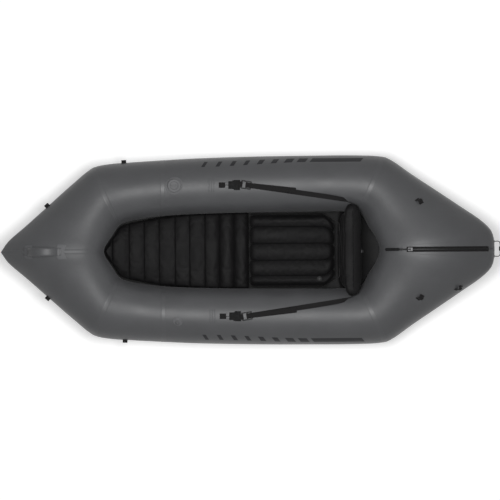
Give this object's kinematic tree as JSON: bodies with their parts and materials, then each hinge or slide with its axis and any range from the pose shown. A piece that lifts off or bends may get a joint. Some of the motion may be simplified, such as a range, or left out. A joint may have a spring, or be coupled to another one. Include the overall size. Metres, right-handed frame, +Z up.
{
  "type": "packraft",
  "caption": "Inflatable packraft: welded tube ring round an open cockpit, with floor, padded mat, seat, strapped backrest, stern zip and tie-down loops.",
  "frame": {"origin": "centre of the bounding box's bottom face, on the ground under the floor sheet", "axes": "-X is the bow and +X the stern along the hull's length, +Y starboard, +Z up"},
  "size_m": [2.4993, 0.944, 0.4185],
  "materials": {
    "tube_fabric": "grey coated nylon, satin",
    "cushion_fabric": "black coated nylon",
    "webbing": "black woven webbing and cord",
    "black_plastic": "black moulded plastic",
    "grey_rubber": "grey moulded valve plastic",
    "slider_metal": "plain metal"
  },
  "bodies": {
    "hull": {"anchor_bridge_port": "tube_fabric", "anchor_bridge_starboard": "tube_fabric", "anchor_webbing_port": "webbing", "anchor_webbing_starboard": "webbing", "backrest_strap_port": "webbing", "backrest_strap_starboard": "webbing", "bow_centre_tape": "tube_fabric", "bow_panel_port": "tube_fabric", "bow_panel_starboard": "tube_fabric", "bow_tie_loop_port": "webbing", "bow_tie_loop_starboard": "webbing", "cord_bead": "black_plastic", "cord_grommet_port": "black_plastic", "cord_grommet_starboard": "black_plastic", "edge_tie_loop_port": "webbing", "floor_mat": "cushion_fabric", "fore_panel_port": "tube_fabric", "fore_panel_starboard": "tube_fabric", "fore_seam_tape_port": "tube_fabric", "fore_seam_tape_starboard": "tube_fabric", "fore_tie_loop_port": "webbing", "fore_tie_loop_starboard": "webbing", "grab_handle": "tube_fabric", "handle_patch_aft": "tube_fabric", "handle_patch_front": "tube_fabric", "hull_floor": "tube_fabric", "lower_webbing_port": "webbing", "lower_webbing_starboard": "webbing", "main_valve_base": "grey_rubber", "mid_seam_tape_port": "tube_fabric", "mid_seam_tape_starboard": "tube_fabric", "oral_valve_base": "grey_rubber", "seat_cushion": "cushion_fabric", "seat_valve_base": "grey_rubber", "side_panel_port": "tube_fabric", "side_panel_starboard": "tube_fabric", "stern_centre_tape": "tube_fabric", "stern_cord": "webbing", "stern_panel_port": "tube_fabric", "stern_panel_starboard": "tube_fabric", "stern_seam_tape_port": "tube_fabric", "stern_seam_tape_starboard": "tube_fabric", "stern_tie_loop_port": "webbing", "stern_tie_loop_starboard": "webbing", "strap_patch_port": "tube_fabric", "strap_patch_starboard": "tube_fabric", "zip_chain": "black_plastic", "zip_front_stop": "black_plastic", "zip_patch": "tube_fabric", "zip_tape": "webbing"},
    "backrest_cushion": {"backrest": "cushion_fabric", "backrest_valve_base": "grey_rubber"},
    "backrest_cap": {"backrest_valve_cap": "black_plastic"},
    "seat_cap": {"seat_valve_cap": "black_plastic"},
    "main_cap": {"main_valve_cap": "grey_rubber"},
    "oral_tip": {"oral_valve_tip": "black_plastic"},
    "slider": {"zip_slider": "slider_metal"},
    "pull": {"zip_pull": "black_plastic"},
    "lock_port": {"ladder_lock_port": "black_plastic"},
    "lock_starboard": {"ladder_lock_starboard": "black_plastic"}
  },
  "joints": [
    {"name": "backrest_tilt", "type": "hinge", "parent": "hull", "child": "backrest_cushion", "pos_m": [0.489, 0, 0.06], "axis": [0, 1, 0], "range_deg": [-15, 5], "deforming": ["backrest_strap_port", "backrest_strap_starboard", "lower_webbing_port", "lower_webbing_starboard"]},
    {"name": "backrest_cap_turn", "type": "hinge", "parent": "backrest_cushion", "child": "backrest_cap", "pos_m": [0.56413, -0.008, 0.25629], "axis": [0.9877, 0, -0.1564], "range_deg": [0, 90]},
    {"name": "seat_cap_turn", "type": "hinge", "parent": "hull", "child": "seat_cap", "pos_m": [0.359, -0.144, 0.0895], "axis": [0, 0, 1], "range_deg": [0, 90]},
    {"name": "main_cap_turn", "type": "hinge", "parent": "hull", "child": "main_cap", "pos_m": [-0.364, 0.325, 0.28571], "axis": [0.0021, 0.0483, 0.9988], "range_deg": [0, 90]},
    {"name": "oral_tip_turn", "type": "hinge", "parent": "hull", "child": "oral_tip", "pos_m": [-0.351, -0.351, 0.28203], "axis": [-0.0081, -0.234, 0.9722], "range_deg": [0, 90]},
    {"name": "zip_run", "type": "hinge", "parent": "hull", "child": "slider", "pos_m": [0.90668, 0, -0.06688], "axis": [0, 1, 0], "range_deg": [0, 50.5]},
    {"name": "pull_lift", "type": "hinge", "parent": "slider", "child": "pull", "pos_m": [0.80675, 0, 0.38217], "axis": [0, 1, 0], "range_deg": [0, 120]},
    {"name": "lock_tilt_port", "type": "hinge", "parent": "hull", "child": "lock_port", "pos_m": [-0.02871, -0.32999, 0.29214], "axis": [0.1577, -0.9873, 0.021], "range_deg": [0, 40], "deforming": ["backrest_strap_port"]},
    {"name": "lock_tilt_starboard", "type": "hinge", "parent": "hull", "child": "lock_starboard", "pos_m": [-0.02871, 0.32999, 0.29214], "axis": [-0.1577, -0.9873, -0.021], "range_deg": [0, 40], "deforming": ["backrest_strap_starboard"]}
  ]
}
